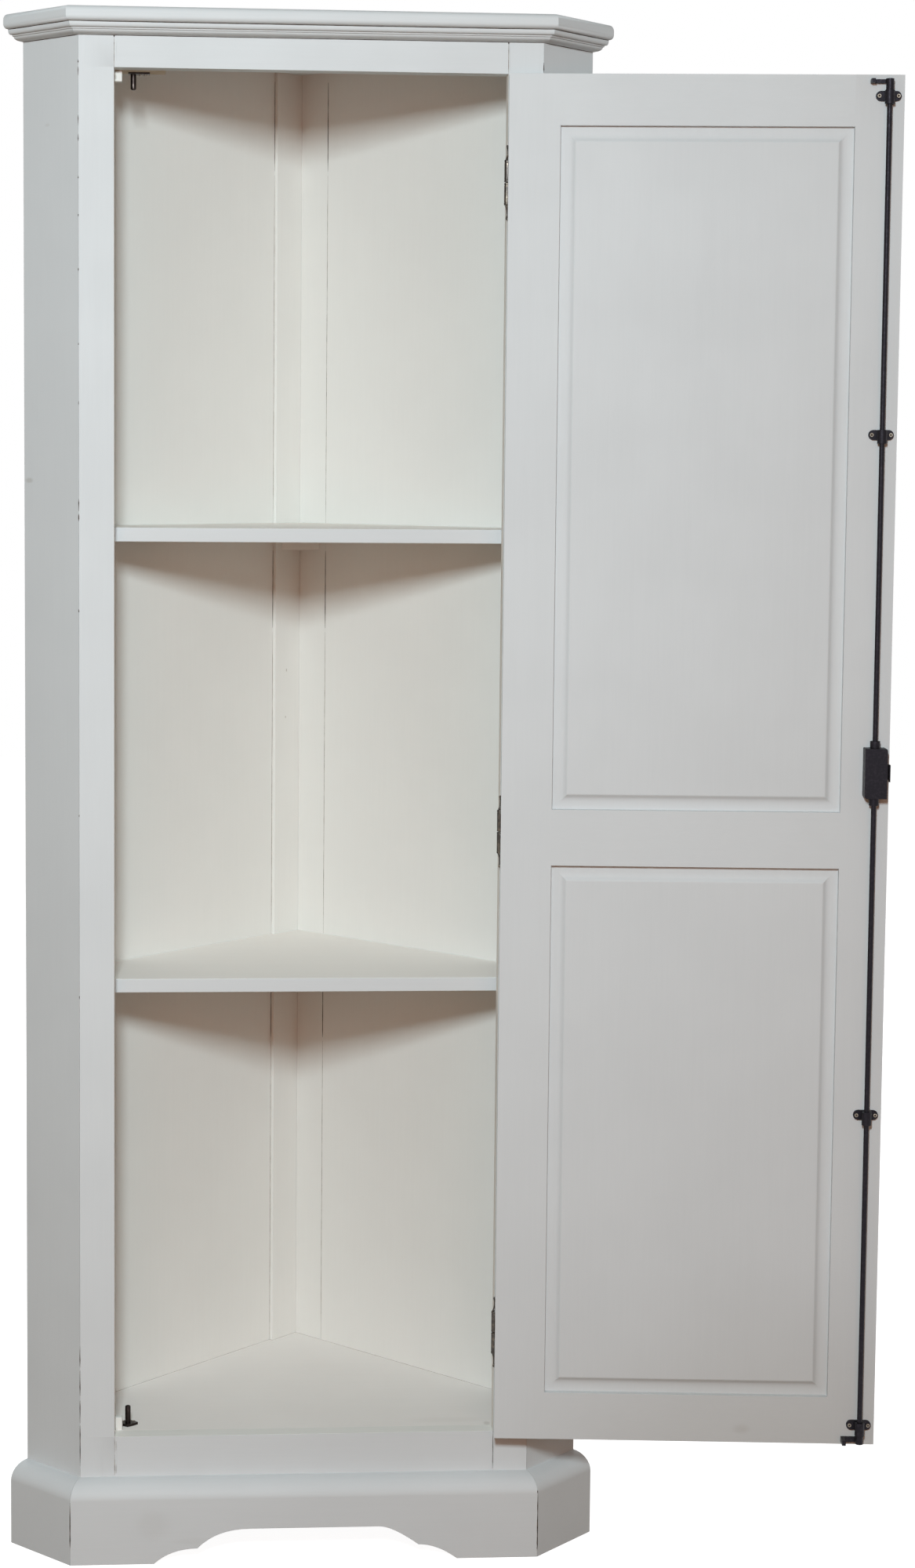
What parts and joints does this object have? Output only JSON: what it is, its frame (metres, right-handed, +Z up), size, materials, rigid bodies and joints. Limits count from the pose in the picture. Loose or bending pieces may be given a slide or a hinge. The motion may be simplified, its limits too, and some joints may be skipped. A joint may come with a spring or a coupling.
{
  "type": "corner cupboard",
  "caption": "Tall painted corner cupboard on a five-sided plan, with a shaped plinth, a moulded cap, inner shelves and a panelled door that closes with a rod lock and hooks",
  "frame": {"origin": "On the floor, on the underside of the left corner strip, 7 mm in front of the line where the two walls of the room would meet.", "axes": "+Z up. The face and its door look along -Y, so -Y comes out of the room's corner. +X is to the right seen from the front, the side that carries the hinges."},
  "size_m": [1.0762, 0.5135, 1.9],
  "materials": {
    "painted_wood": "brushed pale grey paint, satin, with wear along the edges",
    "painted_inside": "pale grey paint, flat, slightly dusty",
    "bare_wood": "sawn softwood, unpainted",
    "dark_iron": "blackened iron, half polished by use",
    "dark_bronze": "dark patinated bronze, bright on the rounds",
    "screw_steel": "slotted steel screws"
  },
  "bodies": {
    "carcase": {"left_front_stile": "painted_wood", "right_front_stile": "painted_wood", "face_top_rail": "painted_wood", "face_bottom_rail": "painted_wood", "left_side_board": "painted_wood", "right_side_board": "painted_wood", "left_back_board": "painted_inside", "right_back_board": "painted_inside", "left_corner_strip": "painted_inside", "right_corner_strip": "painted_inside", "cornice_cap": "painted_wood", "cornice_moulding_front": "painted_wood", "cornice_moulding_left": "painted_wood", "cornice_moulding_right": "painted_wood", "plinth_front": "painted_wood", "plinth_left": "painted_wood", "plinth_right": "painted_wood", "floor_board": "painted_inside", "lower_shelf": "painted_inside", "upper_shelf": "painted_inside", "lower_shelf_cleat": "painted_inside", "upper_shelf_cleat": "painted_inside", "top_keep_block": "bare_wood", "top_door_stop": "painted_wood", "bottom_door_stop": "painted_wood", "top_keep": "dark_iron", "bottom_keep": "dark_iron", "lower_hinge_frame_leaf": "dark_bronze", "middle_hinge_frame_leaf": "dark_bronze", "upper_hinge_frame_leaf": "dark_bronze"},
    "door": {"door_hinge_stile": "painted_wood", "door_lock_stile": "painted_wood", "door_top_rail": "painted_wood", "door_lock_rail": "painted_wood", "door_bottom_rail": "painted_wood", "door_upper_panel": "painted_wood", "door_lower_panel": "painted_wood", "lower_hinge_door_leaf": "dark_bronze", "middle_hinge_door_leaf": "dark_bronze", "upper_hinge_door_leaf": "dark_bronze", "lock_case": "dark_iron", "lock_bolt": "dark_iron", "top_rod_guide": "dark_iron", "top_guide_screw_left": "screw_steel", "top_guide_screw_right": "screw_steel", "upper_rod_guide": "dark_iron", "upper_guide_screw_left": "screw_steel", "upper_guide_screw_right": "screw_steel", "lower_rod_guide": "dark_iron", "lower_guide_screw_left": "screw_steel", "lower_guide_screw_right": "screw_steel", "bottom_rod_guide": "dark_iron", "bottom_guide_screw_left": "screw_steel", "bottom_guide_screw_right": "screw_steel", "knob_rose": "dark_bronze"},
    "rods": {"upper_rod": "dark_iron", "lower_rod": "dark_iron", "top_hook": "dark_iron", "bottom_hook": "dark_iron"},
    "knob": {"turn_knob": "dark_bronze"}
  },
  "joints": [
    {"name": "door_swing", "type": "hinge", "parent": "carcase", "child": "door", "pos_m": [0.23605, -0.41616, 0.9], "axis": [0, 0, 1], "range_deg": [-174.65, 4]},
    {"name": "rod_turn", "type": "hinge", "parent": "door", "child": "rods", "pos_m": [0.68254, -0.49563, 0.9], "axis": [0, 0, 1], "range_deg": [0, 90]},
    {"name": "knob_turn", "type": "hinge", "parent": "door", "child": "knob", "pos_m": [0.68561, -0.46278, 0.99353], "axis": [0.0932, 0.9956, 0], "range_deg": [0, 90]}
  ],
  "couplings": [
    {"joint": "knob_turn", "follows": "rod_turn", "ratio": 1}
  ]
}
